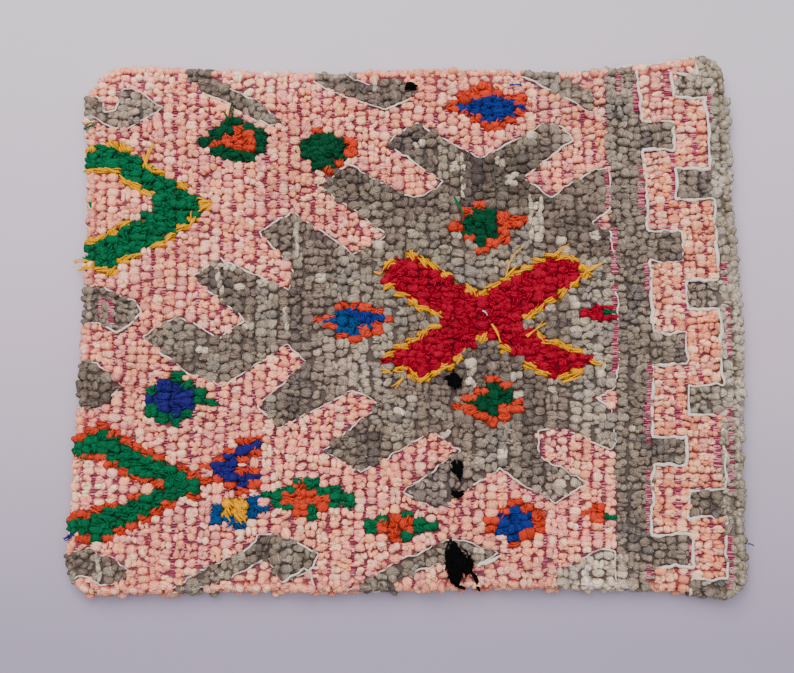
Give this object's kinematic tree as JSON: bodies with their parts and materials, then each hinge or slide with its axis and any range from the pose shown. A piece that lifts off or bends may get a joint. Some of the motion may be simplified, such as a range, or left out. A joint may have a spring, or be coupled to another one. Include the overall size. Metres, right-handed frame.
{
  "type": "moroccan rug",
  "caption": "Small Moroccan knotted-pile wool rug, lying flat, with pink and grey motifs, white outlines and turned edges.",
  "frame": {"origin": "middle of the flat underside", "axes": "+Z out of the pile; +Y along the columns of knots, towards the edge at the top of the picture; +X across them"},
  "size_m": [0.6786, 0.555, 0.0332],
  "materials": {
    "pink_and_grey_wool": "knotted wool pile",
    "black_mending_wool": "wool yarn"
  },
  "bodies": {
    "root": {"rug": "pink_and_grey_wool", "mend_star": "black_mending_wool", "mend_patch": "black_mending_wool", "mend_bit": "black_mending_wool", "mend_tuft": "black_mending_wool", "mend_top_bit": "black_mending_wool"}
  },
  "joints": []
}
